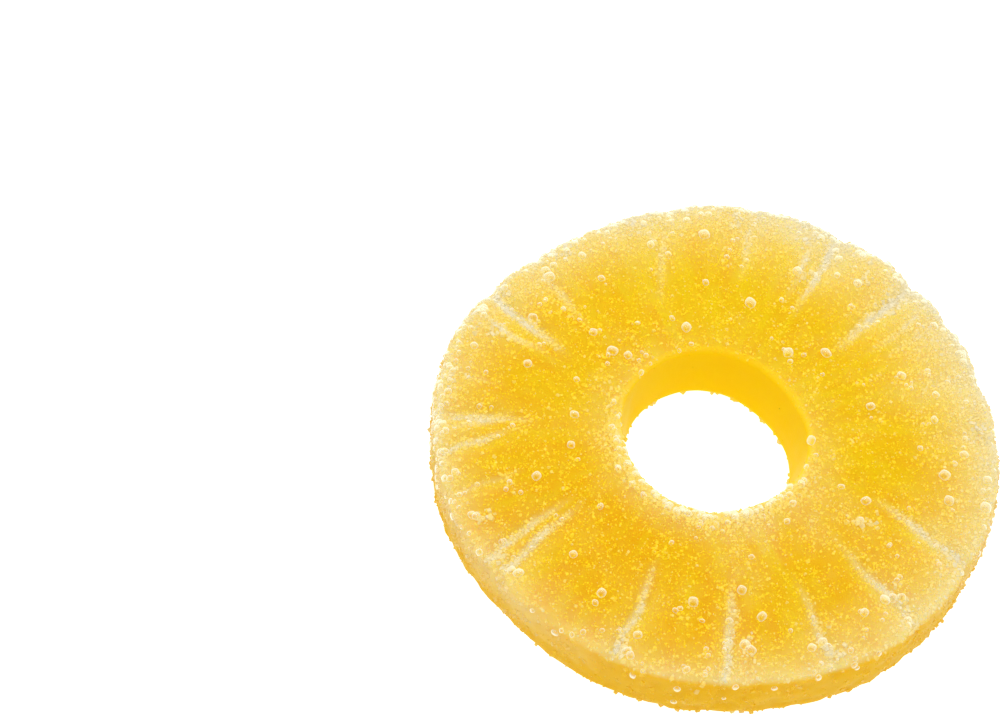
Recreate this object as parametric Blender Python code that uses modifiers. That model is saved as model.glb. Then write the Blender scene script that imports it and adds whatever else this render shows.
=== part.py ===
"""A ring of candied pineapple, as one solid.

The slice lies flat, +Z up, in metres.  Its underside is on z = 0 and the middle of its box is on the Z axis.
Its cut face is turned about Z into a plain ring.  Functions then pull that ring into the fruit's real
outline, open its hole off centre and press in the seams between its segments.
"""

import math

import bpy
import numpy as np

# Driving dimensions, in metres
OUTER_RADIUS = 0.0323
THICKNESS = 0.0081

# Proportions of the cut face, as shares of the outer radius
HOLE_TOP = 0.322 * OUTER_RADIUS
HOLE_BOTTOM = 0.292 * OUTER_RADIUS
RIM_ROUND = 0.032 * OUTER_RADIUS
FOOT_ROUND = 0.030 * OUTER_RADIUS
LIP_ROUND = 0.036 * OUTER_RADIUS
HOLE_FOOT_ROUND = 0.020 * OUTER_RADIUS
BELLY = 0.008 * OUTER_RADIUS
TOP_FALL = 0.008 * OUTER_RADIUS

# The hole's centre, away from the rim's centre
HOLE_SHIFT = (-0.026 * OUTER_RADIUS, 0.007 * OUTER_RADIUS)

# Slow waves of the two outlines: (how many round the ring, share of the radius, degrees to a crest)
RIM_WAVES = ((2, 0.012, 42), (3, 0.012, -47), (4, 0.008, -1), (5, 0.002, 29), (7, 0.004, 9))
HOLE_WAVES = ((2, 0.011, -33), (3, 0.018, 6), (4, 0.010, -1))

# Seams between the segments: (degrees at the rim, degrees at the inner end, share of the outer radius
# where the inner end lies, strength)
SEAMS = (
    (16, 17, 0.68, 0.4),
    (30, 34, 0.74, 0.5),
    (47, 45, 0.66, 0.5),
    (58, 55, 0.52, 1.0),
    (77, 75, 0.66, 0.9),
    (95, 95, 0.66, 0.4),
    (113, 126, 0.50, 0.4),
    (148, 152, 0.58, 0.5),
    (160, 166, 0.56, 1.0),
    (182, 183, 0.72, 0.3),
    (194, 193, 0.58, 0.7),
    (203, 196, 0.66, 0.7),
    (212, 211, 0.68, 0.4),
    (228, 224, 0.56, 0.8),
    (233, 227, 0.53, 0.9),
    (261, 263, 0.53, 0.9),
    (284, 288, 0.55, 0.9),
    (307, 309, 0.60, 0.7),
    (327, 328, 0.55, 0.8),
    (345, 351, 0.56, 0.9),
)
SEAM_DEPTH = 0.022 * OUTER_RADIUS
SEAM_NOTCH = 0.010 * OUTER_RADIUS
SEAM_HALF_WIDTH = 0.036 * OUTER_RADIUS
FOOT_SEAM_SHARE = 0.4
FLAT_FOOT_END = 0.90 * OUTER_RADIUS

# How finely the ring is faceted
TURN_STEPS = 144
CORNER_STEPS = 3
TOP_STEPS = 9
WALL_STEPS = 3
FOOT_STEPS = 4
MERGE_DISTANCE = 0.00001
SHARP_ANGLE = math.radians(40)

# Golden translucent flesh
FLESH_COLOUR = (0.947, 0.552, 0.012, 1.0)
FLESH_ROUGHNESS = 0.35
FLESH_SUBSURFACE = 0.4
FLESH_SUBSURFACE_DEPTH = 0.003


def clear_scene():
    for obj in list(bpy.context.scene.objects):
        bpy.data.objects.remove(obj, do_unlink=True)


def arc(centre_radius, centre_height, size, from_degrees, to_degrees):
    """Points of a rounded corner of the cut face, both ends included."""
    angles = np.radians(np.linspace(from_degrees, to_degrees, CORNER_STEPS + 1))
    return np.column_stack((centre_radius + size * np.cos(angles), centre_height + size * np.sin(angles)))


def between(start, end, steps):
    """Points on the straight line between two points, both ends left out."""
    share = np.linspace(0, 1, steps + 1)[1:-1, None]
    return np.asarray(start) * (1 - share) + np.asarray(end) * share


def cut_face():
    """The ring's cut face as (radius, height), from the hole's lip out along the top and round."""
    lip = arc(HOLE_TOP + LIP_ROUND, THICKNESS - LIP_ROUND, LIP_ROUND, 180, 90)
    rim = arc(OUTER_RADIUS - RIM_ROUND, THICKNESS - RIM_ROUND, RIM_ROUND, 90, 0)
    foot = arc(OUTER_RADIUS - FOOT_ROUND, FOOT_ROUND, FOOT_ROUND, 0, -90)
    hole_foot = arc(HOLE_BOTTOM + HOLE_FOOT_ROUND, HOLE_FOOT_ROUND, HOLE_FOOT_ROUND, 270, 180)
    top = between(lip[-1], rim[0], TOP_STEPS)
    wall = between(rim[-1], foot[0], WALL_STEPS)
    under = between(foot[-1], hole_foot[0], FOOT_STEPS)
    hole_wall = between(hole_foot[-1], lip[0], WALL_STEPS)
    return np.vstack((lip, top, rim, wall, foot, under, hole_foot, hole_wall))


def plain_ring():
    """The cut face turned about Z by a Screw modifier, as a closed mesh."""
    points = cut_face()
    count = len(points)
    section = bpy.data.meshes.new("cut_face")
    corners = [(radius, 0.0, height) for radius, height in points]
    section.from_pydata(corners, [(i, (i + 1) % count) for i in range(count)], [])
    turned = bpy.data.objects.new("cut_face", section)
    bpy.context.scene.collection.objects.link(turned)
    screw = turned.modifiers.new("Turn", "SCREW")
    screw.axis = "Z"
    screw.angle = math.tau
    screw.steps = TURN_STEPS
    screw.render_steps = TURN_STEPS
    screw.use_merge_vertices = True
    screw.merge_threshold = MERGE_DISTANCE
    view = bpy.context.evaluated_depsgraph_get()
    ring = bpy.data.meshes.new_from_object(turned.evaluated_get(view))
    bpy.data.objects.remove(turned, do_unlink=True)
    bpy.data.meshes.remove(section)
    return ring


def ease(value):
    """0 below 0, 1 above 1 and a smooth rise between them."""
    value = np.clip(value, 0, 1)
    return value * value * (3 - 2 * value)


def outline_wave(angle, waves):
    """Share by which an outline's radius grows at each angle: a sum of cosines."""
    return sum(size * np.cos(count * (angle - math.radians(crest))) for count, size, crest in waves)


def seam(angle, radius):
    """0 on a segment, up to 1 on the line of a strong seam at the rim.

    A seam is a bell-shaped groove across its line, and it fades out towards its inner end.
    """
    deepest = np.zeros_like(radius)
    for rim_degrees, inner_degrees, reach, strength in SEAMS:
        along = np.clip((radius / OUTER_RADIUS - reach) / (1 - reach), 0, 1)
        line = np.radians(inner_degrees + (rim_degrees - inner_degrees) * along)
        turn = (angle - line + math.pi) % math.tau - math.pi
        across = radius * turn / SEAM_HALF_WIDTH
        deepest = np.maximum(deepest, strength * ease(along * 1.6) * np.exp(-across * across))
    return deepest


def pull_into_fruit(points):
    """Move the plain ring's points out to the fruit's outline, hole and seams."""
    x, y, z = points.T
    angle = np.arctan2(y, x)
    radius = np.hypot(x, y)
    height = z / THICKNESS
    hole_radius = HOLE_BOTTOM + (HOLE_TOP - HOLE_BOTTOM) * height
    out = np.clip((radius - hole_radius) / (OUTER_RADIUS - hole_radius), 0, 1)

    # Seams press the top down and, less deeply, the foot of the rim up; the flat of the underside stays
    groove = seam(angle, radius)
    near_top = ease((height - 0.5) * 2)
    near_foot = ease((0.5 - height) * 2) * ease((radius - FLAT_FOOT_END) / (OUTER_RADIUS - FLAT_FOOT_END))
    new_z = z - near_top * (SEAM_DEPTH * groove + TOP_FALL * ease((out - 0.8) / 0.2))
    new_z = new_z + near_foot * SEAM_DEPTH * FOOT_SEAM_SHARE * groove

    # The wall bellies out half way up, and each seam notches it, more at the top than at the foot
    at_rim = ease((out - 0.85) / 0.15)
    belly = BELLY * (np.sin(math.pi * height) - 0.5)
    notch = SEAM_NOTCH * groove * (0.45 + 0.55 * near_top)
    moved = radius + at_rim * (belly - notch)

    # The outline's waves at the rim pass into the hole's own waves towards the middle
    swell = out * OUTER_RADIUS * outline_wave(angle, RIM_WAVES)
    swell = swell + (1 - out) * HOLE_TOP * outline_wave(angle, HOLE_WAVES)
    moved = moved + swell
    new_x = moved * np.cos(angle) + (1 - out) * HOLE_SHIFT[0]
    new_y = moved * np.sin(angle) + (1 - out) * HOLE_SHIFT[1]
    return np.column_stack((new_x, new_y, new_z))


def shape_ring(mesh):
    """Reshape the plain ring's mesh and centre it over the origin."""
    points = np.empty(len(mesh.vertices) * 3)
    mesh.vertices.foreach_get("co", points)
    points = pull_into_fruit(points.reshape(-1, 3))
    middle = (points.min(axis=0) + points.max(axis=0)) / 2
    points -= (middle[0], middle[1], 0.0)
    mesh.vertices.foreach_set("co", points.ravel())
    mesh.update()


def flesh_material():
    """Golden candied flesh, glossy and a little see-through."""
    material = bpy.data.materials.new("candied_flesh")
    material.use_nodes = True
    shader = material.node_tree.nodes["Principled BSDF"]
    shader.inputs["Base Color"].default_value = FLESH_COLOUR
    shader.inputs["Roughness"].default_value = FLESH_ROUGHNESS
    shader.inputs["Metallic"].default_value = 0.0
    shader.inputs["Subsurface Weight"].default_value = FLESH_SUBSURFACE
    shader.inputs["Subsurface Scale"].default_value = FLESH_SUBSURFACE_DEPTH
    return material


def make_ring(collection):
    """The whole fruit as one closed solid."""
    mesh = plain_ring()
    mesh.name = "pineapple_ring"
    shape_ring(mesh)
    mesh.shade_smooth()
    mesh.set_sharp_from_angle(angle=SHARP_ANGLE)
    mesh.materials.append(flesh_material())
    ring = bpy.data.objects.new("pineapple_ring", mesh)
    collection.objects.link(ring)
    return ring


def main():
    clear_scene()
    collection = bpy.data.collections.new("candied_pineapple_ring")
    bpy.context.scene.collection.children.link(collection)
    make_ring(collection)


main()
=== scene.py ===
# %% [markdown]
# # A ring of candied pineapple
#
# Candied pineapple is fresh fruit cooked in syrup until sugar has taken the place of its water.  The flesh
# turns golden and lets light through, and the ring is then rolled in sugar.  This lesson builds two things:
# the flesh, as one smooth surface with the seams between the fruit's segments pressed in, and the sugar, as
# thousands of small solid crystals that sit on it.
#
# The first cell loads the solid model of the ring.  Everything is made around it, in metres, +Z up.

# %% Load the solid ring
import math

import bpy
import numpy as np
from mathutils import Matrix, Vector


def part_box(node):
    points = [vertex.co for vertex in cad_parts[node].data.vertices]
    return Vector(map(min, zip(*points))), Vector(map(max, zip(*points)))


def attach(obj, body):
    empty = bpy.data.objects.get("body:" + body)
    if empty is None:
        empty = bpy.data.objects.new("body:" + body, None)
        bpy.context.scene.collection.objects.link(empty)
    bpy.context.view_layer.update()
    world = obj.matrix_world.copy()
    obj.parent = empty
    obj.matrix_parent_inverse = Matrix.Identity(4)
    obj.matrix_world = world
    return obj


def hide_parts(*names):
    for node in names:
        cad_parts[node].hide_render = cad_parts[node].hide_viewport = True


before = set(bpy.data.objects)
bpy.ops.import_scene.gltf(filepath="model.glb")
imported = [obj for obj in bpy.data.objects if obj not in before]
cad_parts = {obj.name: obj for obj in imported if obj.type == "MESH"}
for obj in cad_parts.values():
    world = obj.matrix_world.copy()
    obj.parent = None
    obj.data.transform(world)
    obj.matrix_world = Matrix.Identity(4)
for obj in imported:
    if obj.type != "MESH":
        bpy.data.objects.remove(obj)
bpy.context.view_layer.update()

MILLIMETRE = 0.001
ring_low, ring_high = (np.array(corner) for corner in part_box("pineapple_ring"))
print("solid ring", np.round((ring_high - ring_low) / MILLIMETRE, 2), "mm")

# %% [markdown]
# ## The camera
#
# The ring is seen from well above, and the camera is rolled, so the ring seems to lean.  Three vectors give
# the camera's turn: its right, its up and the way back to the camera.  They start as the axes of an unrolled
# camera at the wanted height, and the roll mixes right with up.  The ring sits right of and below the middle
# of the frame, so the camera is then turned a few degrees away from it.

# %% Camera
ELEVATION = math.radians(58)
ROLL = math.radians(-15.5)
CAMERA_DISTANCE = 0.4
AIM = Vector((0.0003, -0.0006, 0.0))
LENS = 124.2
SENSOR = 36.0
NEAREST = 0.01
FARTHEST = 20.0

# Where the ring sits in the frame, as shares of the frame's width away from its middle
RIGHT_OF_MIDDLE = 0.2104
BELOW_MIDDLE = 0.1144


def camera_turn():
    """Rotation matrix of the camera: rolled about its line of sight, then turned away from the ring."""
    flat_right = Vector((1, 0, 0))
    flat_up = Vector((0, math.sin(ELEVATION), math.cos(ELEVATION)))
    back = Vector((0, -math.cos(ELEVATION), math.sin(ELEVATION)))
    right = flat_right * math.cos(ROLL) - flat_up * math.sin(ROLL)
    up = flat_right * math.sin(ROLL) + flat_up * math.cos(ROLL)
    facing_ring = Matrix((right, up, back)).transposed()
    width_to_lens = SENSOR / LENS
    seen_at = Vector((RIGHT_OF_MIDDLE * width_to_lens, -BELOW_MIDDLE * width_to_lens, -1)).normalized()
    turn_away = Vector((0, 0, -1)).rotation_difference(seen_at).to_matrix()
    return facing_ring @ turn_away.transposed(), back


def make_camera():
    """The camera stands at the aim + its way back * its distance."""
    turn, back = camera_turn()
    camera = bpy.data.objects.new("camera", bpy.data.cameras.new("camera"))
    camera.data.lens = LENS
    camera.data.sensor_width = SENSOR
    camera.data.clip_start = NEAREST
    camera.data.clip_end = FARTHEST
    camera.matrix_world = Matrix.Translation(AIM + back * CAMERA_DISTANCE) @ turn.to_4x4()
    bpy.context.scene.collection.objects.link(camera)
    bpy.context.scene.camera = camera
    return camera


camera = make_camera()
print("camera at", [round(c, 4) for c in camera.location])

# %% [markdown]
# ## Floor and light
#
# Sugar and clear flesh look best in a white tent: soft light from all round, more of it from above, and a
# white table that sends light back up through the fruit.  A picture of a sky could light the ring too, but a
# tent made of a few nodes is even, and each of its numbers is easy to correct.
#
# Helpers come first.  `feed` sets an input or links it, so the same code can take a number or a node.
# `for_camera` gives one value where the camera looks straight at a thing, and another to light that is on
# its way elsewhere.  Emission sampling is off, because treating weak glows as lamps only slows the picture.

# %% Helpers for meshes and materials
def link_mesh(name, points, faces):
    """A mesh object at the origin from an array of points and an array of faces with equal corner counts."""
    mesh = bpy.data.meshes.new(name)
    mesh.from_pydata(points.tolist(), [], faces.tolist())
    mesh.update()
    piece = bpy.data.objects.new(name, mesh)
    bpy.context.scene.collection.objects.link(piece)
    return piece


def make_material(name):
    """A new material, its node tree and its Principled shader."""
    material = bpy.data.materials.new(name)
    material.use_nodes = True
    material.cycles.emission_sampling = "NONE"
    return material, material.node_tree, material.node_tree.nodes["Principled BSDF"]


def feed(tree, socket, value):
    """Link another node's output into an input socket, or set the input to a plain value."""
    if isinstance(value, bpy.types.NodeSocket):
        tree.links.new(value, socket)
    else:
        socket.default_value = value


def for_camera(tree, seen, otherwise):
    """Output of a Mix node: seen for the camera's own rays, otherwise for all other light."""
    path = tree.nodes.new("ShaderNodeLightPath")
    mix = tree.nodes.new("ShaderNodeMix")
    feed(tree, mix.inputs["Factor"], path.outputs["Is Camera Ray"])
    feed(tree, mix.inputs["A"], otherwise)
    feed(tree, mix.inputs["B"], seen)
    return mix.outputs["Result"]


print("helpers ready")

# %% [markdown]
# The floor is the white table.  It glows as a light table does, and it glows more strongly to the camera
# than on the ring, which keeps it white without bleaching the fruit.  A brighter lamp would do both.

# %% The floor
FLOOR_SIZE = 3.0
FLOOR_COLOUR = (0.93, 0.93, 0.92, 1)
FLOOR_ROUGHNESS = 0.7
FLOOR_GLOSS = 0.1
FLOOR_GLOW = 0.8
FLOOR_GLOW_ON_RING = 0.25
WHITE = (1, 1, 1, 1)


def make_floor():
    """A square on z = 0 with the origin in its middle."""
    half = FLOOR_SIZE / 2
    corners = np.array([(-half, -half, 0), (half, -half, 0), (half, half, 0), (-half, half, 0)])
    floor = link_mesh("floor", corners, np.array([[0, 1, 2, 3]]))
    material, tree, shader = make_material("pale_floor")
    shader.inputs["Base Color"].default_value = FLOOR_COLOUR
    shader.inputs["Roughness"].default_value = FLOOR_ROUGHNESS
    shader.inputs["Specular IOR Level"].default_value = FLOOR_GLOSS
    shader.inputs["Emission Color"].default_value = WHITE
    feed(tree, shader.inputs["Emission Strength"], for_camera(tree, FLOOR_GLOW, FLOOR_GLOW_ON_RING))
    floor.data.materials.append(material)
    return floor


make_floor()
print("floor", FLOOR_SIZE, "m wide")

# %% [markdown]
# The world's background is the tent.  Its strength rises with the direction's height and, a little, towards
# the back, so that the ring's walls are darker than its top.  Two lamps give the crystals something bright
# to mirror: a small one behind the ring and a large soft one in front of it.  Light passes through many
# crystals on its way to the flesh, so the number of clear layers it may cross is raised.

# %% The tent and the lamps
TENT_COLOUR = (1.0, 0.99, 0.97, 1)
TENT_AT_HORIZON = 0.50
TENT_RISE = 0.63
TENT_SLOPE = 0.10
TENT_SEEN = 1.05

# Lamps: name, place, width of the square, watts
LAMPS = (
    ("lamp_back", (-0.08, 0.22, 0.30), 0.15, 0.34),
    ("lamp_front", (0.05, -0.48, 0.6), 0.4, 0.72),
)
CLEAR_LAYERS = 48
BOUNCES = 16


def make_tent():
    """A white world: strength = horizon + rise * height of the direction + slope * its way to the back, and
    one even white where the camera looks straight at it."""
    world = bpy.data.worlds.new("white_tent")
    world.use_nodes = True
    tree = world.node_tree
    background = tree.nodes["Background"]
    background.inputs["Color"].default_value = TENT_COLOUR
    direction = tree.nodes.new("ShaderNodeTexCoord")
    parts = tree.nodes.new("ShaderNodeSeparateXYZ")
    feed(tree, parts.inputs["Vector"], direction.outputs["Generated"])
    strength = TENT_AT_HORIZON
    for axis, change in (("Z", TENT_RISE), ("Y", TENT_SLOPE)):
        step = tree.nodes.new("ShaderNodeMath")
        step.operation = "MULTIPLY_ADD"
        feed(tree, step.inputs[0], parts.outputs[axis])
        feed(tree, step.inputs[1], change)
        feed(tree, step.inputs[2], strength)
        strength = step.outputs["Value"]
    feed(tree, background.inputs["Strength"], for_camera(tree, TENT_SEEN, strength))
    bpy.context.scene.world = world
    return world


def make_lamp(name, place, size, watts):
    """A square area lamp at place, facing the origin."""
    lamp = bpy.data.objects.new(name, bpy.data.lights.new(name, "AREA"))
    lamp.data.size = size
    lamp.data.energy = watts
    lamp.location = place
    lamp.rotation_euler = (-Vector(place)).to_track_quat("-Z", "Y").to_euler()
    bpy.context.scene.collection.objects.link(lamp)
    return lamp


make_tent()
for lamp_row in LAMPS:
    make_lamp(*lamp_row)
bpy.context.scene.view_settings.view_transform = "Standard"
bpy.context.scene.cycles.transparent_max_bounces = CLEAR_LAYERS
bpy.context.scene.cycles.transmission_bounces = BOUNCES
bpy.context.scene.cycles.max_bounces = BOUNCES
print("white tent and", len(LAMPS), "lamps")

# %% [markdown]
# ## The outline and the seams
#
# A pineapple's segments meet along lines that run in from the rim.  Each line is a narrow groove that
# notches the rim and fades out half way to the hole.  The rim itself is a circle with a few slow waves added,
# and so is the hole.  A seam could be carved with a tool shape, but a formula for its depth keeps the surface
# one clean grid.  These are the sizes that shaped the solid ring, so the two fit each other.

# %% Sizes of the fruit
OUTER_RADIUS = 32.3 * MILLIMETRE
THICKNESS = 8.1 * MILLIMETRE
HOLE_TOP = 0.322 * OUTER_RADIUS
HOLE_BOTTOM = 0.292 * OUTER_RADIUS
RIM_ROUND = 0.032 * OUTER_RADIUS
FOOT_ROUND = 0.030 * OUTER_RADIUS
LIP_ROUND = 0.036 * OUTER_RADIUS
HOLE_FOOT_ROUND = 0.020 * OUTER_RADIUS
BELLY = 0.008 * OUTER_RADIUS
TOP_FALL = 0.008 * OUTER_RADIUS
HOLE_SHIFT = np.array((-0.026, 0.007)) * OUTER_RADIUS
RIM_WAVES = ((2, 0.012, 42), (3, 0.012, -47), (4, 0.008, -1), (5, 0.002, 29), (7, 0.004, 9))
HOLE_WAVES = ((2, 0.011, -33), (3, 0.018, 6), (4, 0.010, -1))

# Each seam: degrees at the rim, degrees at its inner end, how far in it starts (share of the radius),
# and how strong it is
SEAMS = (
    (16, 17, 0.68, 0.4), (30, 34, 0.74, 0.5), (47, 45, 0.66, 0.5), (58, 55, 0.52, 1.0),
    (77, 75, 0.66, 0.9), (95, 95, 0.66, 0.4), (113, 126, 0.50, 0.4), (148, 152, 0.58, 0.5),
    (160, 166, 0.56, 1.0), (182, 183, 0.72, 0.3), (194, 193, 0.58, 0.7), (203, 196, 0.66, 0.7),
    (212, 211, 0.68, 0.4), (228, 224, 0.56, 0.8), (233, 227, 0.53, 0.9), (261, 263, 0.53, 0.9),
    (284, 288, 0.55, 0.9), (307, 309, 0.60, 0.7), (327, 328, 0.55, 0.8), (345, 351, 0.56, 0.9),
)
SEAM_DEPTH = 0.022 * OUTER_RADIUS
SEAM_NOTCH = 0.010 * OUTER_RADIUS

# A seam has its full depth at 1 / 1.6 of the way from its inner end to the rim
SEAM_FADE = 1.6
print(len(SEAMS), "seams")

# %% [markdown]
# Small helpers turn those sizes into arrays.  `ease` is a smooth step, and `rise` and `fall` set where such
# a step lies.  `wave` adds up cosines.  `seams` measures how near each point is to a line: the distance
# across the line, in metres, goes through a bell curve, and the result fades towards the line's inner end.
# Whole arrays go in and come out, so no loop runs over points.

# %% Helpers for outline and seams
def ease(value):
    """3v^2 - 2v^3 with v held between 0 and 1."""
    value = np.clip(value, 0, 1)
    return value * value * (3 - 2 * value)


def rise(value, start, length):
    """0 up to start, 1 from start + length on, and a smooth step between them."""
    return ease((value - start) / length)


def fall(value, end, length):
    """1 up to end - length, 0 from end on, and a smooth step between them."""
    return ease((end - value) / length)


def wave(angle, waves):
    """Sum of size * cos(count * (angle - crest))."""
    return sum(size * np.cos(count * (angle - math.radians(crest))) for count, size, crest in waves)


def seams(angle, radius, half_width, wander=0.0, table=SEAMS):
    """The strongest line at each point: strength * fade * exp(-(distance across / half width)^2).  wander
    shifts the line sideways."""
    strongest = np.zeros_like(radius)
    for rim_degrees, inner_degrees, reach, strength in table:
        along = np.clip((radius / OUTER_RADIUS - reach) / (1 - reach), 0, 1)
        line = np.radians(inner_degrees + (rim_degrees - inner_degrees) * along)
        turn = (angle - line + math.pi) % math.tau - math.pi
        across = (radius * turn + wander) / half_width
        strongest = np.maximum(strongest, strength * ease(along * SEAM_FADE) * np.exp(-across * across))
    return strongest


print("a strong seam at the rim:", seams(np.radians([58.0]), np.array([OUTER_RADIUS]), 0.001)[0])

# %% [markdown]
# Nothing on fruit is quite even.  `lumps` is a smooth random field: random values on the points of a cubic
# lattice, blended between the eight nearest ones.  The lattice repeats far outside the ring, and a seeded
# generator fills it, so the field is the same each time.

# %% Uneven fields
LATTICE = 64
LATTICE_OFFSET = 0.37


def lumps(points, size, seed):
    """Blend of random lattice values between -1 and 1: ease of the position inside each lattice cell
    weighs the cell's eight corners."""
    values = np.random.default_rng(seed).uniform(-1, 1, (LATTICE, LATTICE, LATTICE))
    scaled = points / size + LATTICE_OFFSET
    cell = np.floor(scaled).astype(int)
    share = ease(scaled - cell)
    total = np.zeros(points.shape[:-1])
    for corner in np.ndindex(2, 2, 2):
        at = (cell + corner) % LATTICE
        weight = np.prod(np.where(corner, share, 1 - share), axis=-1)
        total += weight * values[at[..., 0], at[..., 1], at[..., 2]]
    return total


print("lumps at the origin:", round(float(lumps(np.zeros((1, 3)), 0.001, 1)[0]), 3))

# %% [markdown]
# ## The flesh
#
# The ring is a cut face carried round an axis, so it is a grid that closes on itself both ways: one
# direction runs round the cut face, the other round the hole.  First comes the plain cut face, then the
# same waves, belly and seams that shaped the solid, then the things that only the eye needs: softer seams and
# lumps.  The flesh is set in a little from the solid, because the sugar lies on it.

# %% The cut face
TURNS = 640
CORNER_STEPS = 10
TOP_STEPS = 56
WALL_STEPS = 20
UNDER_STEPS = 20


def arc(radius, height, size, from_degrees, to_degrees):
    """Points on a quarter circle, both ends included."""
    angles = np.radians(np.linspace(from_degrees, to_degrees, CORNER_STEPS + 1))
    return np.column_stack((radius + size * np.cos(angles), height + size * np.sin(angles)))


def between(start, end, steps):
    """Points on a straight line, both ends left out."""
    share = np.linspace(0, 1, steps + 1)[1:-1, None]
    return start * (1 - share) + end * share


def cut_face():
    """The cut face as (radius, height): lip of the hole, top, rim, wall, foot, underside, hole wall."""
    lip = arc(HOLE_TOP + LIP_ROUND, THICKNESS - LIP_ROUND, LIP_ROUND, 180, 90)
    rim = arc(OUTER_RADIUS - RIM_ROUND, THICKNESS - RIM_ROUND, RIM_ROUND, 90, 0)
    foot = arc(OUTER_RADIUS - FOOT_ROUND, FOOT_ROUND, FOOT_ROUND, 0, -90)
    hole_foot = arc(HOLE_BOTTOM + HOLE_FOOT_ROUND, HOLE_FOOT_ROUND, HOLE_FOOT_ROUND, 270, 180)
    top = between(lip[-1], rim[0], TOP_STEPS)
    wall = between(rim[-1], foot[0], WALL_STEPS)
    under = between(foot[-1], hole_foot[0], UNDER_STEPS)
    hole_wall = between(hole_foot[-1], lip[0], WALL_STEPS)
    return np.vstack((lip, top, rim, wall, foot, under, hole_foot, hole_wall))


face = cut_face()
print("cut face of", len(face), "points,", TURNS, "turns")

# %% [markdown]
# Now the cut face is carried round, and each of its points is moved as the solid's are.  In the fruit a seam
# is a narrow groove between two soft shoulders, so two bell curves of different widths are added up, and the
# groove wanders a little to either side of its line.

# %% The cut face carried round
GROOVE_WIDTH = 0.95 * MILLIMETRE
SHOULDER_WIDTH = 2.6 * MILLIMETRE
WANDER = 0.35 * MILLIMETRE
WANDER_LENGTH = 3 * MILLIMETRE
WANDER_SEED = 3

# What the groove and the shoulders take of the seam's depth and of its notch in the rim
GROOVE_DEPTH, SHOULDER_DEPTH = 0.75, 0.35
GROOVE_NOTCH, SHOULDER_NOTCH = 0.5, 0.6
NOTCH_AT_FOOT = 0.45


def grid_normals(points):
    """Unit normals of a grid that closes both ways: cross product of its two central differences."""
    round_face = np.roll(points, -1, axis=1) - np.roll(points, 1, axis=1)
    round_hole = np.roll(points, -1, axis=0) - np.roll(points, 1, axis=0)
    normals = np.cross(round_face, round_hole)
    return normals / np.linalg.norm(normals, axis=-1, keepdims=True)


def carried_round():
    """The cut face at every turn, moved as the solid is: height falls in the seams, radius takes the
    belly, the notches and the waves, and the hole's centre is shifted."""
    angle = np.linspace(0, math.tau, TURNS, endpoint=False)[:, None] * np.ones(len(face))
    radius = face[:, 0] * np.ones_like(angle)
    z = face[:, 1] * np.ones_like(angle)
    height = z / THICKNESS
    hole_radius = HOLE_BOTTOM + (HOLE_TOP - HOLE_BOTTOM) * height
    out = np.clip((radius - hole_radius) / (OUTER_RADIUS - hole_radius), 0, 1)
    near_top = rise(height, 0.5, 0.5)
    plain = np.stack((radius * np.cos(angle), radius * np.sin(angle), z), axis=-1)
    wander = WANDER * lumps(plain, WANDER_LENGTH, WANDER_SEED)
    groove = seams(angle, radius, GROOVE_WIDTH, wander)
    shoulder = seams(angle, radius, SHOULDER_WIDTH, wander)
    depth = SEAM_DEPTH * (GROOVE_DEPTH * groove + SHOULDER_DEPTH * shoulder)
    z = z - near_top * (depth + TOP_FALL * rise(out, 0.8, 0.2))
    notch = SEAM_NOTCH * (GROOVE_NOTCH * groove + SHOULDER_NOTCH * shoulder)
    notch = notch * (NOTCH_AT_FOOT + (1 - NOTCH_AT_FOOT) * near_top)
    moved = radius + rise(out, 0.85, 0.15) * (BELLY * (np.sin(math.pi * height) - 0.5) - notch)
    moved = moved + out * OUTER_RADIUS * wave(angle, RIM_WAVES)
    moved = moved + (1 - out) * HOLE_TOP * wave(angle, HOLE_WAVES)
    x = moved * np.cos(angle) + (1 - out) * HOLE_SHIFT[0]
    y = moved * np.sin(angle) + (1 - out) * HOLE_SHIFT[1]
    return np.stack((x, y, z), axis=-1), angle, out, height, radius / OUTER_RADIUS, wander


points, angle, out, height, share, wander = carried_round()
middle = (points.min(axis=(0, 1)) + points.max(axis=(0, 1))) / 2
points -= (middle[0], middle[1], 0)
print("before the inset", np.round(np.ptp(points, axis=(0, 1)) / MILLIMETRE, 2), "mm")

# %% [markdown]
# Candied flesh shrinks unevenly in the syrup, so it is lumpy.  Lumps of several sizes push the points
# in or out along the surface's normals.  The hole's wall was cut by a blade, so the finest lumps stay off it,
# and the rim gets more.  A bump in the material could fake them, but the outline would stay smooth.  The
# surface is then set in from the solid.

# %% Lumps and inset
TOP_INSET = 0.34 * MILLIMETRE
SIDE_INSET = 0.12 * MILLIMETRE
hole_wall = fall(out, 0.05, 0.04)

# Lumps: where they are, their height and size in millimetres, and the seed of their field
LUMPS = (
    (np.ones_like(out), 0.12, 4.5, 11),
    (np.ones_like(out), 0.06, 1.7, 12),
    (1 - hole_wall, 0.05, 0.8, 13),
    (rise(out, 0.95, 0.05), 0.15, 1.2, 15),
)
normals = grid_normals(points)
relief = sum(where * bulge * lumps(points, size * MILLIMETRE, seed) for where, bulge, size, seed in LUMPS)
flat_under = rise(height, 0.02, 0.1)
inset = SIDE_INSET + (TOP_INSET - SIDE_INSET) * np.abs(normals[..., 2])
points = points + normals * (relief * flat_under * MILLIMETRE - inset)[..., None]
print("flesh", np.round(np.ptp(points, axis=(0, 1)) / MILLIMETRE, 2), "mm")

# %% [markdown]
# A field is an array with one number for each point of the flesh.  The first ones say which part of the
# ring a point is on, from 0 to 1: `on_top`, `under`, `side`, `outer_wall` and, from above, `hole_wall`.
# Others say on which side of the ring it is, because the sugar isn't the same all round.  Seen from above,
# angles run anticlockwise from the right, so the far side is near 90 degrees and the near side near -90.
# Many amounts grow along such a field, so they are written as pairs: (least, how much more at most).

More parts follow.
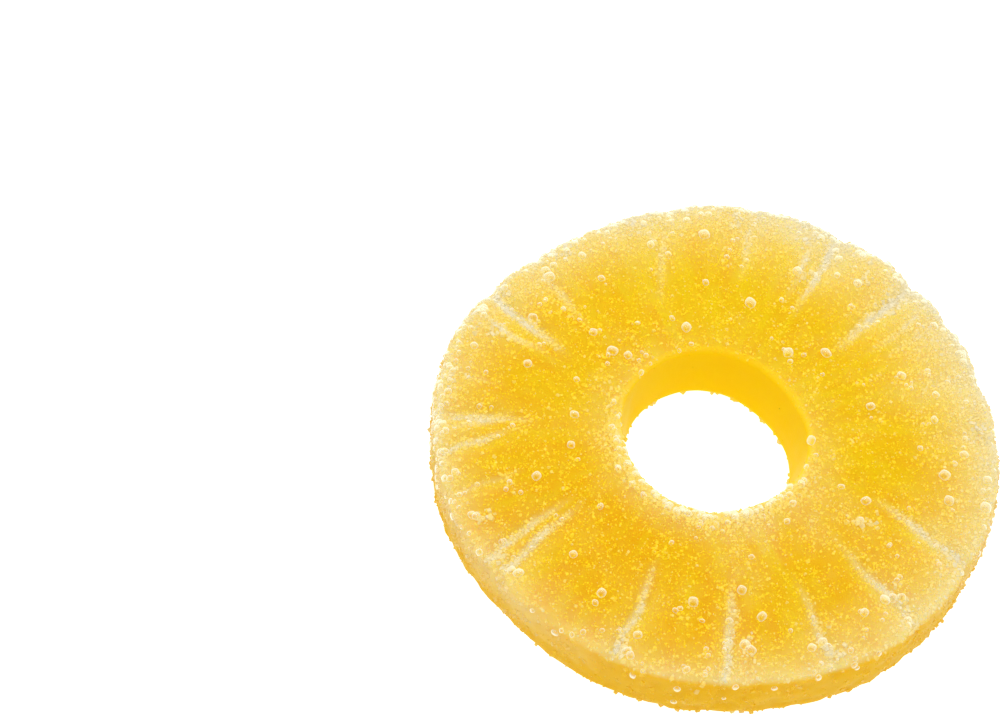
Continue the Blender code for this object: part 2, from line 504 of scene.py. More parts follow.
# %% Parts and sides of the ring
FAR_SIDE = 85
WIDE_BAND_SIDE = 60
BARE_EDGE_SIDE = -60
FAR_OR_LEFT = (0.04, 0.96)


def towards(degrees):
    """1 on the side of the ring at degrees, -1 on the side across from it: cos(angle - degrees)."""
    return np.cos(angle - math.radians(degrees))


def graded(amount, where):
    """Least + more * where, for an amount given as (least, more)."""
    least, more = amount
    return least + more * where


on_top = rise(height, 0.86, 0.12)
under = fall(height, 0.1, 0.08)
side = (1 - on_top) * (1 - under)
outer_wall = side * rise(out, 0.9, 0.1)
wide_side = 0.5 + 0.5 * towards(WIDE_BAND_SIDE)
near_side = 0.5 - 0.5 * towards(FAR_SIDE)
far_or_left = graded(FAR_OR_LEFT, ease(0.4 - 1.2 * towards(BARE_EDGE_SIDE)))
print("share of the points that are on top:", round(float(on_top.mean()), 2))

# %% [markdown]
# Sugar does not lie evenly.  It packs into the seams, along the rim and on the lip of the hole, and it
# wears thin on the middle of each segment, apart from a few hazy patches.  `frost` holds that, from 0 for
# bare golden flesh to 1 for a white crust.  It could be painted by hand, but a sum of fields can be corrected
# by a single number.  It is stored on the surface, so the flesh's colour can read it, and the crystals are
# dealt out by it later.

# %% Streaks and patches of sugar
# Streaks: the seams, some of them stronger, and lines of sugar beside them
STREAKS = SEAMS + ((77, 75, 0.55, 1.0), (82, 80, 0.60, 0.7), (52, 47, 0.62, 0.6), (95, 96, 0.62, 0.6),
                   (122, 118, 0.70, 0.5), (166, 170, 0.60, 0.7), (199, 190, 0.66, 0.4))

# Broad patches with more fine sugar: degrees round the ring, share of the radius
HAZE = ((305, 0.42), (327, 0.48), (291, 0.51), (340, 0.50), (32, 0.74))
HAZE_REACH = 2.8 * MILLIMETRE
DRAWN_OUT = 0.7


def streaks(half_width):
    """The seams helper along every streak of sugar."""
    return seams(angle, share * OUTER_RADIUS, half_width, wander, STREAKS)


def near_places(places, reach):
    """The nearest place's bell curve: exp(-(distance to the place / reach)^2), drawn out along the radius."""
    strongest = np.zeros_like(share)
    for degrees, at_share in places:
        turn = (angle - math.radians(degrees) + math.pi) % math.tau - math.pi
        across = share * OUTER_RADIUS * turn
        along = (share - at_share) * OUTER_RADIUS * DRAWN_OUT
        strongest = np.maximum(strongest, np.exp(-(across ** 2 + along ** 2) / reach ** 2))
    return strongest * on_top


haze = near_places(HAZE, HAZE_REACH)
print(len(STREAKS), "streaks and", len(HAZE), "hazy patches")

# %% [markdown]
# Each kind of sugar has a function here, and `frost_field` adds them up.  `coarse` and `fine` are uneven
# fields, from 0 to 1, that break up what would otherwise be ruled bands and lines.

# %% Where the sugar lies
RIM_BAND_START = (0.80, -0.22)
RIM_FROST = (0.42, 0.40)
RIM_EDGE_FROST = 0.15
LINE_FROST = (0.85, 0.15)
LINE_WIDTH = (0.36, 0.14)
SOFT_LINE_FROST = 0.12
SOFT_LINE_WIDTH = 2.0 * MILLIMETRE
LIP_FROST = (0.03, 0.28)
LIP_START = 0.50
LIP_LENGTH = 0.14
PATCH_FROST = 0.04
HAZE_FROST = 0.22
WALL_FROST = 0.06
UPPER_WALL_FROST = 0.42
WHITER_WALLS_SIDE = 25
UNDER_FROST = 0.3

# How much the uneven fields change the rim band, the lines and the haze
RIM_UNEVEN = (0.75, 0.5)
LINE_UNEVEN = (0.6, 0.6)
HAZE_UNEVEN = (0.3, 0.7)
coarse = 0.5 + 0.5 * lumps(points, 3.4 * MILLIMETRE, 21)
fine = 0.5 + 0.5 * lumps(points, 1.1 * MILLIMETRE, 22)


def rim_band():
    """Strength * (way from the band's inner edge to the rim)^2, wider and whiter on one side of the ring,
    and a little more at the rim's very edge."""
    inner_edge = graded(RIM_BAND_START, wide_side)
    way = np.clip((share - inner_edge) / (1 - inner_edge), 0, 1)
    very_edge = RIM_EDGE_FROST * rise(share, 0.96, 0.03) * far_or_left
    return graded(RIM_FROST, wide_side) * way ** 2 + very_edge


def thin_lines():
    """The streaks as thin lines, slightly wider and whiter where the rim band is wide."""
    return graded(LINE_FROST, wide_side) * streaks(graded(LINE_WIDTH, wide_side) * MILLIMETRE)


def lip_of_hole():
    """Strength * (way in from the lip's start)^1.5, most of it on the near side."""
    return graded(LIP_FROST, near_side) * np.clip((LIP_START - share) / LIP_LENGTH, 0, 1) ** 1.5


def patches():
    """A little wherever the uneven fields are high, and more in the hazy patches."""
    small = PATCH_FROST * rise(coarse * 0.6 + fine * 0.4, 0.45, 0.35)
    return small + HAZE_FROST * haze * graded(HAZE_UNEVEN, fine)


def walls():
    """A thin uneven film, and more on the upper half of the walls at two opposite sides."""
    whiter_walls = ease(0.5 + 0.8 * np.cos(2 * (angle - math.radians(WHITER_WALLS_SIDE))))
    upper_wall = UPPER_WALL_FROST * whiter_walls * rise(height, 0.2, 0.6)
    return (WALL_FROST * coarse + upper_wall) * side * (1 - hole_wall)


def frost_field():
    """On top, the greater of the rim band and the thin lines, both uneven, + lip + patches + soft lines;
    the walls and the underside have a film of their own.  The sum is held between 0 and 1."""
    soft_lines = SOFT_LINE_FROST * streaks(SOFT_LINE_WIDTH)
    top = np.maximum(rim_band() * graded(RIM_UNEVEN, coarse), thin_lines() * graded(LINE_UNEVEN, fine))
    top = top + lip_of_hole() + patches() + soft_lines
    return np.clip(top * on_top + walls() + UNDER_FROST * under, 0, 1)


frost = frost_field()
print("frost from", round(float(frost.min()), 2), "to", round(float(frost.max()), 2))

# %% [markdown]
# Pineapple is fibrous, and where little sugar covers them the fibres show as streaks of deeper gold that run
# in from the rim.  `fibre_and_near_shade` holds them: lumps read from a space that is stretched round the
# ring, so that each comes out long and narrow.  A wave texture would be too regular.  It also holds painted
# shade: a base of deeper gold everywhere that grows towards the near side, where less light falls.

# %% Fibres
# Steps of the lattice round the ring, from its centre to its rim, and from its underside to its top
FIBRE_STEPS = (2 * LATTICE, 7, 2)
FIBRE_SEED = 41
# Deeper gold everywhere, and more towards the near side as painted shade
FIBRE_BASE_AND_NEAR_SHADE = (0.20, 0.50)
FIBRE_LUMPS = 0.55


def fibre_and_near_shade_field():
    """A base value, more on the near side as painted shade, + lumps of (angle, radius, height), held between
    0 and 1.
    """
    round_ring, along_radius, up = FIBRE_STEPS
    drawn_out = np.stack((angle / math.tau * round_ring, share * along_radius, height * up), axis=-1)
    fibres = FIBRE_LUMPS * lumps(drawn_out, 1.0, FIBRE_SEED)
    return np.clip(graded(FIBRE_BASE_AND_NEAR_SHADE, near_side) + fibres, 0, 1)


fibre_and_near_shade = fibre_and_near_shade_field()
print("mean fibre:", round(float(fibre_and_near_shade.mean()), 2))

# %% [markdown]
# The grid of points becomes a mesh of quads.  Both ways round, the last row joins the first, so the surface
# is closed without a seam or a pole.  The fields go with it as attributes that the materials can read.

# %% The flesh as a mesh
def grid_faces(rows, columns):
    """Quads of a grid that closes both ways, wound so that they face out."""
    row, column = np.meshgrid(np.arange(rows), np.arange(columns), indexing="ij")
    next_row = (row + 1) % rows
    next_column = (column + 1) % columns
    corners = (row * columns + column, row * columns + next_column,
               next_row * columns + next_column, next_row * columns + column)
    return np.stack([corner.ravel() for corner in corners], axis=-1)


def make_flesh():
    """The flesh's mesh, with its fields as attributes on its points."""
    rows, columns = points.shape[:2]
    flesh = link_mesh("flesh", points.reshape(-1, 3), grid_faces(rows, columns))
    flesh.data.shade_smooth()
    fields = {"frost": frost, "fibre_and_near_shade": fibre_and_near_shade, "outer_wall": outer_wall, "hole_wall": hole_wall}
    for name, field in fields.items():
        attribute = flesh.data.attributes.new(name, "FLOAT", "POINT")
        attribute.data.foreach_set("value", field.ravel())
    return flesh


flesh = make_flesh()
signed_volume = float(np.einsum("ijk,ijk->ij", points, normals).sum())
print("flesh faces out:", signed_volume > 0, "triangles:", 2 * len(flesh.data.polygons))

# %% [markdown]
# ## The flesh's finish
#
# Light enters the flesh, scatters and comes out golden a few millimetres away.  A plain colour would look
# like paint, so the Principled shader's subsurface does the scattering.  Its colour goes from deep gold on
# the bare segments to pale cream where a film of sugar covers them.  The hole's wall is bare and clear, and
# is painted a brighter gold for the light that crosses the whole flesh, and a weak glow there stands in for
# that light too: both are painted light.
#
# The flesh and the grains on it have to agree on where the sugar is, and on the darker colour of the outer
# wall, which is painted shade, so the tint is a node group that both of their materials use, each with its
# own three colours.

# %% Flesh material
GOLD = (0.76, 0.50, 0.001, 1)
PALE_GOLD = (0.78, 0.56, 0.002, 1)
DEEP_GOLD = (0.77, 0.42, 0.001, 1)
# Painted light: the hole's wall is brighter, for light that crosses the flesh
HOLE_WALL_LIT_GOLD = (0.90, 0.61, 0.001, 1)
# Painted shade: the outer wall is a darker gold, because less light reaches it
SHADED_WALL_GOLD = (0.77, 0.435, 0.003, 1)
CREAM = (0.82, 0.76, 0.40, 1)
# Painted light: a glow on the hole's wall, which is no lamp
HOLE_GLOW = (0.012, 0.010, 0.0, 1)
NO_GLOW = (0.0, 0.0, 0.0, 1)
FLESH_ROUGHNESS = 0.42
FLESH_GLOSS = 0.05
SCATTER_DEPTH = 2.2 * MILLIMETRE
SCATTER_BY_COLOUR = (1.0, 0.8, 0.15)
PORE_HEIGHT = 0.06 * MILLIMETRE
PORE_STRENGTH = 0.6

# Spots of paler gold and pores in the surface: how many of them in a metre
PALE_SPOTS = 3000
PORES = 4000
NOISE_DETAIL = 2


def noise_node(tree, scale):
    """Output of a noise texture on Object coordinates."""
    place = tree.nodes.new("ShaderNodeTexCoord")
    noise = tree.nodes.new("ShaderNodeTexNoise")
    noise.inputs["Scale"].default_value = scale
    noise.inputs["Detail"].default_value = NOISE_DETAIL
    tree.links.new(place.outputs["Object"], noise.inputs["Vector"])
    return noise.outputs["Fac"]


def mix_colours(tree, factor, first, second):
    """A Mix node between two colours; each input may be a value or a socket."""
    mix = tree.nodes.new("ShaderNodeMix")
    mix.data_type = "RGBA"
    # A Mix node keeps its colour inputs at 6 and 7 and its colour output at 2
    for index, value in ((0, factor), (6, first), (7, second)):
        feed(tree, mix.inputs[index], value)
    return mix.outputs[2]


def attribute_node(tree, name):
    """Output of a node that reads one of the piece's own fields."""
    node = tree.nodes.new("ShaderNodeAttribute")
    node.attribute_name = name
    return node.outputs["Fac"]


def sugar_and_wall_shade_tint_group():
    """A node group that tints by the sugar on a spot and paints shade on the outer wall: Bare where there is
    none, Shaded wall, a darker colour that is painted shade, on the outer wall, Sugared where frost is 1."""
    group = bpy.data.node_groups.new("sugar_and_wall_shade_tint", "ShaderNodeTree")
    for name in ("Bare", "Shaded wall", "Sugared"):
        group.interface.new_socket(name, in_out="INPUT", socket_type="NodeSocketColor")
    group.interface.new_socket("Colour", in_out="OUTPUT", socket_type="NodeSocketColor")
    given = group.nodes.new("NodeGroupInput")
    result = group.nodes.new("NodeGroupOutput")
    on_wall = attribute_node(group, "outer_wall")
    golden = mix_colours(group, on_wall, given.outputs["Bare"], given.outputs["Shaded wall"])
    colour = mix_colours(group, attribute_node(group, "frost"), golden, given.outputs["Sugared"])
    group.links.new(colour, result.inputs["Colour"])
    return group


def tinted(tree, bare, wall, sugared):
    """The sugar tint and the outer wall's painted shade in a material's tree; each colour may be a value or a
    socket.
    """
    tint = tree.nodes.new("ShaderNodeGroup")
    tint.node_tree = sugar_and_wall_shade_tint
    for name, value in (("Bare", bare), ("Shaded wall", wall), ("Sugared", sugared)):
        feed(tree, tint.inputs[name], value)
    return tint.outputs["Colour"]


def flesh_material():
    """Gold mixed with paler spots, deeper fibres with painted shade towards the near side, and the hole
    wall's painted light, then tinted by the sugar on it and the outer wall's painted shade.
    """
    material, tree, shader = make_material("candied_flesh")
    golden = mix_colours(tree, noise_node(tree, PALE_SPOTS), GOLD, PALE_GOLD)
    # Deeper gold along the fibres, and painted shade towards the near side
    golden = mix_colours(tree, attribute_node(tree, "fibre_and_near_shade"), golden, DEEP_GOLD)
    # Painted light on the hole's wall: a brighter gold here, and a glow below
    golden = mix_colours(tree, attribute_node(tree, "hole_wall"), golden, HOLE_WALL_LIT_GOLD)
    feed(tree, shader.inputs["Base Color"], tinted(tree, golden, SHADED_WALL_GOLD, CREAM))
    glow = mix_colours(tree, attribute_node(tree, "hole_wall"), NO_GLOW, HOLE_GLOW)
    feed(tree, shader.inputs["Emission Color"], glow)
    shader.inputs["Emission Strength"].default_value = 1.0
    shader.inputs["Roughness"].default_value = FLESH_ROUGHNESS
    shader.inputs["Specular IOR Level"].default_value = FLESH_GLOSS
    shader.inputs["Subsurface Weight"].default_value = 1.0
    shader.inputs["Subsurface Radius"].default_value = SCATTER_BY_COLOUR
    shader.inputs["Subsurface Scale"].default_value = SCATTER_DEPTH
    bump = tree.nodes.new("ShaderNodeBump")
    bump.inputs["Strength"].default_value = PORE_STRENGTH
    bump.inputs["Distance"].default_value = PORE_HEIGHT
    feed(tree, bump.inputs["Height"], noise_node(tree, PORES))
    feed(tree, shader.inputs["Normal"], bump.outputs["Normal"])
    return material


sugar_and_wall_shade_tint = sugar_and_wall_shade_tint_group()
flesh.data.materials.append(flesh_material())
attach(flesh, "root")
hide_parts("pineapple_ring")
print("flesh finished with", len(flesh.data.materials), "material")

# %% [markdown]
# ## Sugar crystals
#
# Sugar sticks wherever the wet flesh touched it, each crystal turned its own way.  Three helpers deal with
# that: `spots` finds places on the flesh by chance, and `random_turns` and `standing` give each crystal its
# turn, the first for grains that lie anyhow and the second for coarse ones that lie flat.

# %% Places and turns for crystals
def random_turns(rng, count):
    """Random rotation matrices, from random unit quaternions."""
    q = rng.normal(size=(count, 4))
    w, x, y, z = (q / np.linalg.norm(q, axis=1, keepdims=True)).T
    rows = ((1 - 2 * (y * y + z * z), 2 * (x * y - z * w), 2 * (x * z + y * w)),
            (2 * (x * y + z * w), 1 - 2 * (x * x + z * z), 2 * (y * z - x * w)),
            (2 * (x * z - y * w), 2 * (y * z + x * w), 1 - 2 * (x * x + y * y)))
    return np.stack([np.stack(row, axis=-1) for row in rows], axis=1)


def spots(rng, count, weight):
    """Random places on the flesh: grid cells are drawn by area * weight, and each draw lands at a random
    point inside its cell.  Returns places, normals and the cells' own indices."""
    next_row = np.roll(points, -1, axis=0)
    next_column = np.roll(points, -1, axis=1)
    area = np.linalg.norm(np.cross(next_row - points, next_column - points), axis=-1)
    chance = (area * weight).ravel()
    cell = rng.choice(chance.size, size=count, p=chance / chance.sum())
    row, column = np.divmod(cell, points.shape[1])
    way = rng.uniform(0, 1, (2, count, 1))
    here = points[row, column]
    place = here + way[0] * (next_row[row, column] - here) + way[1] * (next_column[row, column] - here)
    return place, normals[row, column], cell


def standing(normal, rng):
    """Bases with Z along the normal and X turned at random about it."""
    across = np.cross(normal, rng.normal(size=normal.shape))
    across /= np.linalg.norm(across, axis=1, keepdims=True)
    return np.stack((across, np.cross(normal, across), normal), axis=-1)


one_spot = spots(np.random.default_rng(0), 1, on_top)[0][0]
print("a spot on top:", np.round(one_spot / MILLIMETRE, 1), "mm")

# %% [markdown]
# A sugar crystal is a slanted block, and fine sugar is full of broken chips.  Two small templates, a block
# and a chip, are copied thousands of times as whole arrays: each copy is stretched, sheared, turned and set
# on its spot.  Instances would be lighter, but real mesh can be exported as it is.  Every face is there
# thousands of times, so the templates have only six and eight.

# %% Blocks, chips and their copies
BLOCK_SIZE = 0.5
BLOCK_CORNERS = np.array([(x, y, z) for x in (-1, 1) for y in (-1, 1) for z in (-1, 1)]) * BLOCK_SIZE
BLOCK_FACES = np.array([(0, 1, 3, 2), (4, 6, 7, 5), (0, 4, 5, 1), (2, 3, 7, 6), (0, 2, 6, 4), (1, 5, 7, 3)])
BLOCK = (BLOCK_CORNERS, BLOCK_FACES)

# A chip is two four-sided pyramids, base to base
CHIP_SIZE = 0.62
CHIP_CORNERS = np.array([(1, 0, 0), (-1, 0, 0), (0, 1, 0), (0, -1, 0), (0, 0, 1), (0, 0, -1)]) * CHIP_SIZE
CHIP_FACES = np.array([(0, 2, 4), (2, 1, 4), (1, 3, 4), (3, 0, 4),
                       (2, 0, 5), (1, 2, 5), (3, 1, 5), (0, 3, 5)])
CHIP = (CHIP_CORNERS, CHIP_FACES)


def crystals(name, template, faces, bases, rng, place, normal, size, lift, uneven):
    """Copies of a template: corners * random stretch and shear * size, turned by their bases, with their
    middles size * lift above the flesh."""
    count = len(place)
    shape = template * rng.uniform(1 - uneven, 1 + uneven, (count, 1, 3))
    shape[..., :1] += rng.uniform(-uneven, uneven, (count, 1, 1)) * shape[..., 1:2]
    turned = np.einsum("nij,nkj->nki", bases, shape)
    corners = turned * size[:, None, None] + (place + normal * (size * lift)[:, None])[:, None]
    corners[..., 2] = np.maximum(corners[..., 2], 0.0)
    index = np.arange(count)[:, None, None] * len(template) + faces
    return link_mesh(name, corners.reshape(-1, 3), index.reshape(-1, faces.shape[1]))


print("a block has", len(BLOCK_FACES), "faces and a chip", len(CHIP_FACES))

# %% [markdown]
# ## The sugar's finish
#
# A single sugar crystal is as clear as glass, and a heap of them is white, because light is bent at every
# face until it comes out anywhere.  Glass crystals this small trap the light and turn grey where they lie
# close.  These let nearly all light through to the flesh, and only the eye sees them fully, in a colour
# between gold and white that follows the frost below them, and darker on the outer wall as painted shade.
# A weak golden glow stands in for the light that comes up out of the flesh: painted light.  The coarse
# crystals are clear in the middle and milky towards the edge, and that edge is partly a painted reflection
# of the bright rim a clear crystal shows; they have a weak glow of their own, painted light too.

# %% Sugar materials
GRAIN_GOLD = (0.80, 0.61, 0.005, 1)
# Painted shade: grains on the outer wall are darker
SHADED_WALL_GRAIN = (0.70, 0.43, 0.02, 1)
GRAIN_WHITE = (0.73, 0.685, 0.51, 1)
# Painted light: golden glows on the grains, on bare flesh, on the outer wall and in frost
GRAIN_GLOW = (0.22, 0.13, 0.004, 1)
# Painted shade: a weaker glow on the outer wall's grains
SHADED_WALL_GLOW = (0.18, 0.105, 0.003, 1)
FROST_GLOW = (0.11, 0.077, 0.025, 1)
GRAIN_SEEN = 0.8
GRAIN_ROUGHNESS = 0.25
GRAIN_GLOSS = 0.2
LIGHT_STOPPED = 0.15
BEAD_WHITE = (0.95, 0.92, 0.70, 1)
BEAD_MIDDLE = -0.03
BEAD_EDGE = 1.6
# Painted light: the coarse crystals glow a little, though they are no lamp
BEAD_GLOW = (1.0, 0.85, 0.42, 1)
BEAD_GLOW_STRENGTH = 0.10
BEAD_ROUGHNESS = 0.08
SUGAR_IOR = 1.54


def grain_material():
    """Tinted by the frost below each grain, darker on the outer wall as painted shade, and glowing as painted
    light; light that isn't on its way to the eye mostly passes through.
    """
    material, tree, shader = make_material("sugar_grain")
    feed(tree, shader.inputs["Base Color"], tinted(tree, GRAIN_GOLD, SHADED_WALL_GRAIN, GRAIN_WHITE))
    shader.inputs["Roughness"].default_value = GRAIN_ROUGHNESS
    shader.inputs["Specular IOR Level"].default_value = GRAIN_GLOSS
    feed(tree, shader.inputs["Emission Color"], tinted(tree, GRAIN_GLOW, SHADED_WALL_GLOW, FROST_GLOW))
    shader.inputs["Emission Strength"].default_value = 1.0
    feed(tree, shader.inputs["Alpha"], for_camera(tree, GRAIN_SEEN, LIGHT_STOPPED))
    return material


def bead_material():
    """Clear where it is looked straight through, milky towards its edge, which is partly a painted
    reflection:
    middle + edge * facing away, held between 0 and 1.  Its weak glow is painted light."""
    material, tree, shader = make_material("sugar_bead")
    shader.inputs["Base Color"].default_value = BEAD_WHITE
    shader.inputs["Roughness"].default_value = BEAD_ROUGHNESS
    shader.inputs["IOR"].default_value = SUGAR_IOR
    shader.inputs["Emission Color"].default_value = BEAD_GLOW
    shader.inputs["Emission Strength"].default_value = BEAD_GLOW_STRENGTH
    # The milky edge is partly a painted reflection of the bright rim a clear crystal shows
    edge = tree.nodes.new("ShaderNodeLayerWeight")
    edge.inputs["Blend"].default_value = 0.5
    milk_and_rim_sheen = tree.nodes.new("ShaderNodeMath")
    milk_and_rim_sheen.operation = "MULTIPLY_ADD"
    milk_and_rim_sheen.use_clamp = True
    feed(tree, milk_and_rim_sheen.inputs[0], edge.outputs["Facing"])
    feed(tree, milk_and_rim_sheen.inputs[1], BEAD_EDGE)
    feed(tree, milk_and_rim_sheen.inputs[2], BEAD_MIDDLE)
    feed(tree, shader.inputs["Alpha"], for_camera(tree, milk_and_rim_sheen.outputs["Value"], LIGHT_STOPPED))
    return material


sugar_grain = grain_material()
sugar_bead = bead_material()
print("sugar materials:", sugar_grain.name, "and", sugar_bead.name)

# %% [markdown]
# ## Fine sugar
#
# The ring was rolled in sugar, which stuck as dust, as single grains and, here and there, as knots.  How
# likely a crystal is on each spot is one more field.  On the far side the grains are whole.  Elsewhere much
# of the sugar has melted: its pale film is left, but the crystals are few.  In the seams it has dried into
# a broken crust.

# %% Where each kind of fine sugar lies
UNMELTED_SIDE = 95
UNMELTED = (0.25, 0.75)
CRUST_WIDTH = 0.48 * MILLIMETRE
SEAM_CRUST = (0.5, 0.5)
LIP_CRUST_END = 0.40
HOLE_WALL_BARE = 0.97

# Dust on bare flesh, beside 1 in full frost, and grains on bare flesh, in clusters, in frost and in crust
BARE_DUST = 0.4
BARE_GRAINS, CLUSTER_GRAINS, FROST_GRAINS, CRUST_GRAINS = 0.02, 0.12, 0.8, 1.2

# Knots of crystals: degrees round the ring, share of the radius
KNOTS = (
    (20, 0.94), (57, 0.86), (66, 0.86), (78, 0.78), (81, 0.92), (99, 0.93), (123, 0.95), (141, 0.94),
    (158, 0.95), (162, 0.78), (170, 0.88), (183, 0.96), (220, 0.91), (229, 0.95), (262, 0.94),
    (289, 0.86), (308, 0.93), (329, 0.86), (345, 0.93), (341, 0.62),
)
KNOT_REACH = 0.8 * MILLIMETRE

clusters = rise(lumps(points, 2.0 * MILLIMETRE, 31), 0.25, 0.4)
unmelted = graded(UNMELTED, np.maximum(ease(0.75 + towards(UNMELTED_SIDE)), haze))
broken = ease(0.5 + 0.9 * lumps(points, 0.9 * MILLIMETRE, 32))
seam_crust = graded(SEAM_CRUST, unmelted) * streaks(CRUST_WIDTH) * broken
lip_crust = fall(share, LIP_CRUST_END, 0.05) * ease(0.2 - 1.2 * towards(FAR_SIDE)) * on_top
crust = np.maximum(seam_crust, lip_crust)
off_hole_wall = 1 - HOLE_WALL_BARE * hole_wall * (1 - on_top)
dust = (BARE_DUST + frost * unmelted) * off_hole_wall
grain = BARE_GRAINS + CLUSTER_GRAINS * clusters + FROST_GRAINS * frost ** 1.5 * unmelted
grain = (grain + CRUST_GRAINS * crust) * off_hole_wall
wall_grain = (0.05 + frost) * side * (1 - hole_wall)
under_grain = under * (share < 0.92)
knots = near_places(KNOTS, KNOT_REACH) * (0.3 + clusters)
print("share of the points with crust:", round(float((crust > 0.5).mean()), 3))

# %% [markdown]
# `spread` deals crystals out by such a field.  Each one takes the frost of its own spot, so that it is gold
# on bare flesh and white in a crust, and a few are painted whiter than their neighbours at random, so that
# they read as glints: painted glints.
# The top, the walls and the underside are pieces of their own, which keeps each mesh small.

# %% Dealing out the fine sugar
# How much grains are stretched and sheared, and how much whiter chance makes one at most, as a painted glint
GRAIN_UNEVEN = 0.3
PAINTED_GLINT = 0.35
PAINTED_GLINT_LOSS = 0.05

# Name, seed, kind, how many, where, smallest and largest in millimetres, height of a crystal's middle above
# the flesh in its own size, and how much whiter than the flesh below it
FINE_SUGAR = (
    ("sugar_dust_top", 101, CHIP, 24500, dust * on_top, 0.12, 0.24, 0.05, 0.0),
    ("sugar_dust_side", 102, CHIP, 2200, dust * side, 0.14, 0.28, 0.02, -0.05),
    ("sugar_grains_top", 103, BLOCK, 13500, grain * on_top, 0.17, 0.31, 0.08, 0.06),
    ("sugar_grains_side", 104, BLOCK, 700, wall_grain, 0.26, 0.44, 0.05, 0.0),
    ("sugar_grains_under", 105, BLOCK, 6000, under_grain, 0.24, 0.42, 0.1, 0.0),
    ("sugar_knots", 106, BLOCK, 300, knots, 0.26, 0.46, 0.1, 0.4),
)


def spread(name, seed, kind, count, weight, smallest, largest, lift, whiter):
    """Deal count crystals of one kind out over the flesh by weight, each tinted by the frost it lies on +
    a chance whitening that is a painted glint, glint * u^6 - its loss, where u is even between 0 and 1."""
    template, faces = kind
    rng = np.random.default_rng(seed)
    place, normal, cell = spots(rng, count, weight)
    size = rng.uniform(smallest, largest, count) * MILLIMETRE
    bases = random_turns(rng, count)
    piece = crystals(name, template, faces, bases, rng, place, normal, size, lift,
                     GRAIN_UNEVEN)
    own_tint = PAINTED_GLINT * rng.uniform(0, 1, count) ** 6 - PAINTED_GLINT_LOSS + whiter
    tints = {"frost": frost.ravel()[cell] + own_tint, "outer_wall": outer_wall.ravel()[cell]}
    for field_name, values in tints.items():
        tint = piece.data.attributes.new(field_name, "FLOAT", "POINT")
        tint.data.foreach_set("value", np.repeat(np.clip(values, 0, 1), len(template)))
    piece.data.materials.append(sugar_grain)
    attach(piece, "root")
    triangles = sum(len(face.vertices) - 2 for face in piece.data.polygons)
    print(name, count, "crystals,", triangles, "triangles")
    return piece


for sugar_row in FINE_SUGAR:
    spread(*sugar_row)

# %% [markdown]
# ## Coarse sugar
#
# Among the fine sugar lie coarse crystals, up to about a millimetre across, with their edges melted round.
# Their template is a cube whose points are pulled towards a ball and which is then pressed flatter.  A ball
# would be simpler, but it looks like a drop of water, because nothing on it is straight.

# %% A coarse crystal
BEAD_CUTS = 4
BEAD_SQUARENESS = 2.8
BEAD_FLATNESS = 0.58


def rounded_cube(cuts, squareness):
    """A cube's faces cut into small squares, each point p moved to p / (|x|^n + |y|^n + |z|^n)^(1/n)."""
    steps = np.linspace(-1, 1, cuts)
    corners, squares = {}, []
    for axis in range(3):
        for end in (-1, 1):
            for u, v in np.ndindex(cuts - 1, cuts - 1):
                square = []
                for du, dv in ((0, 0), (1, 0), (1, 1), (0, 1)):
                    at = [0.0, 0.0, 0.0]
                    at[axis] = float(end)
                    at[(axis + 1) % 3] = float(steps[u + du])
                    at[(axis + 2) % 3] = float(steps[v + dv])
                    square.append(corners.setdefault(tuple(np.round(at, 6)), len(corners)))
                squares.append(square if end > 0 else square[::-1])
    cube = np.array(list(corners))
    grown = np.sum(np.abs(cube) ** squareness, axis=1, keepdims=True) ** (1 / squareness)
    return cube / grown / 2, np.array(squares)


bead_corners, bead_faces = rounded_cube(BEAD_CUTS, BEAD_SQUARENESS)
bead_corners = bead_corners * (1, 1, BEAD_FLATNESS)
print("a coarse crystal has", len(bead_faces), "faces")

# %% [markdown]
# The largest stand alone or lie together in lumps of two or three, in given places.  Smaller ones
# crowd in the seams, on the lip of the hole and along the rim, dealt out by fields as the fine sugar is.

# %% Places of the coarse crystals
# The large ones: degrees round the ring, share of the radius
BEADS = (
    (5.5, 0.80), (28.5, 0.58), (37, 0.73), (47, 0.95), (55.5, 0.54), (66.5, 0.44), (66.5, 0.84), (81, 0.76),
    (90.5, 0.56), (107, 0.85), (117, 0.43), (121, 0.84), (138, 0.77), (153, 0.59), (154, 0.48), (161, 0.79),
    (175, 0.71), (175, 0.91), (190.5, 0.50), (205, 0.52), (213.5, 0.67), (219, 0.94), (240, 0.74),
    (252.5, 0.79), (264.5, 0.87), (276, 0.70), (291, 0.64), (294.5, 0.75), (307, 0.88), (319.5, 0.85),
    (328, 0.86), (341, 0.60), (348.5, 0.58), (359, 0.84), (12, 0.33), (276, 0.36), (303, 0.35), (341, 0.36),
    (327, 0.955), (307.5, 0.905), (289, 0.85), (290.5, 0.875), (329, 0.885), (326.5, 0.845), (71, 0.96),
    (76, 0.92), (74.5, 0.89), (148, 0.92), (148.5, 0.895), (233, 0.95), (234.5, 0.935), (263, 0.95),
    (264.5, 0.96), (7, 0.955), (0, 0.965), (291, 0.335), (294.5, 0.345), (335, 0.325),
)


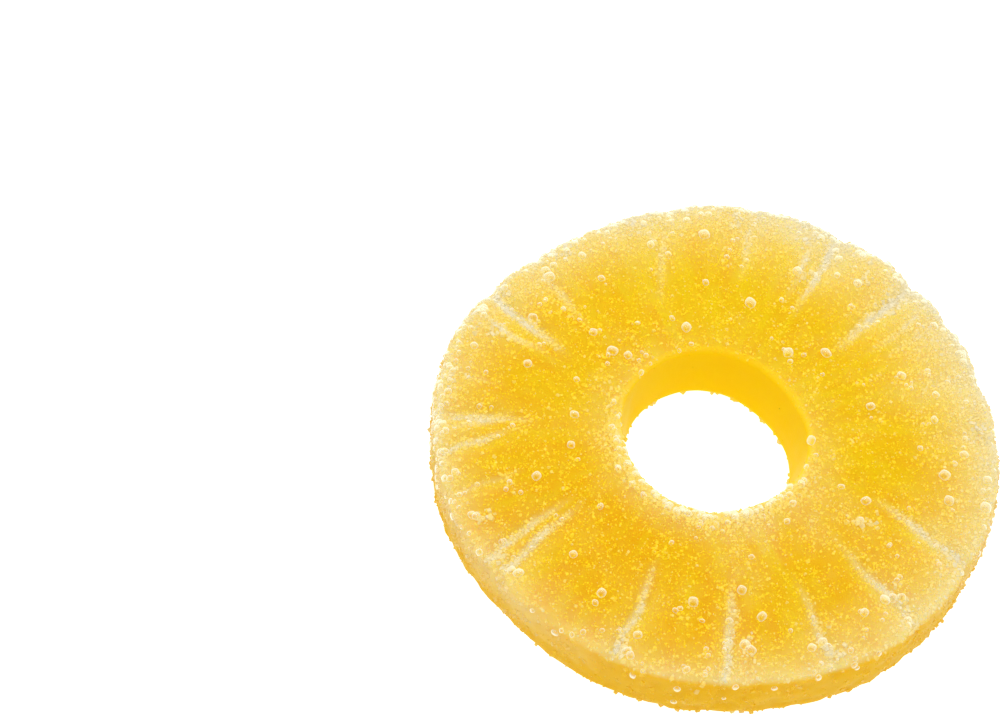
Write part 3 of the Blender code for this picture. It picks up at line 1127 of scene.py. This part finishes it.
def nearest_cells(degrees, shares):
    """The top's grid cell nearest to each place given as degrees and a share of the radius."""
    cells = []
    for at_degrees, at_share in zip(degrees, shares):
        row = int(round(at_degrees / 360 * TURNS)) % TURNS
        column = int(np.argmin(np.abs(share[row] - at_share) + 10 * (on_top[row] < 0.9)))
        cells.append(row * points.shape[1] + column)
    return np.array(cells)


edge_sugar = rise(share, 0.94, 0.04) * rise(height, 0.55, 0.4) * far_or_left + 1.1 * lip_crust
crowded = (0.1 * frost + 0.4 * clusters ** 2 + crust * (1 + 3 * (share > 0.85))) * on_top

# Random ones: how many, smallest and largest in millimetres, and where: alone on the top, on the walls, in
# seams and clusters, along the rim and the lip
SCATTERED = (
    (30, 0.6, 1.0, (0.2 + frost) * on_top * (share > 0.4)),
    (30, 0.4, 0.8, outer_wall * far_or_left),
    (300, 0.35, 0.65, crowded),
    (560, 0.45, 0.9, edge_sugar),
)
print(len(BEADS), "coarse crystals placed by hand,", sum(row[0] for row in SCATTERED), "at random")

# %% [markdown]
# All of them become one mesh.  Each sits with its middle just above the flesh, as a crystal does that has
# sunk into syrup.

# %% Setting the coarse crystals
BEAD_SEED = 201
LARGE_BEADS = (0.95, 1.25)
BEAD_LIFT = 0.05
BEAD_UNEVEN = 0.18


def make_beads():
    """Coarse crystals at the given places and at random ones, all of them standing on the flesh."""
    rng = np.random.default_rng(BEAD_SEED)
    cells = [nearest_cells(*zip(*BEADS))]
    sizes = [rng.uniform(*LARGE_BEADS, len(BEADS))]
    for count, smallest, largest, weight in SCATTERED:
        cells.append(spots(rng, count, weight)[2])
        sizes.append(rng.uniform(smallest, largest, count))
    cell, size = np.concatenate(cells), np.concatenate(sizes) * MILLIMETRE
    place = points.reshape(-1, 3)[cell]
    normal = normals.reshape(-1, 3)[cell]
    bases = standing(normal, rng)
    piece = crystals("sugar_beads", bead_corners, bead_faces, bases, rng, place, normal, size, BEAD_LIFT,
                     BEAD_UNEVEN)
    piece.data.shade_smooth()
    piece.data.materials.append(sugar_bead)
    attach(piece, "root")
    print("coarse crystals:", len(cell), "with", 2 * len(piece.data.polygons), "triangles")
    return piece


make_beads()
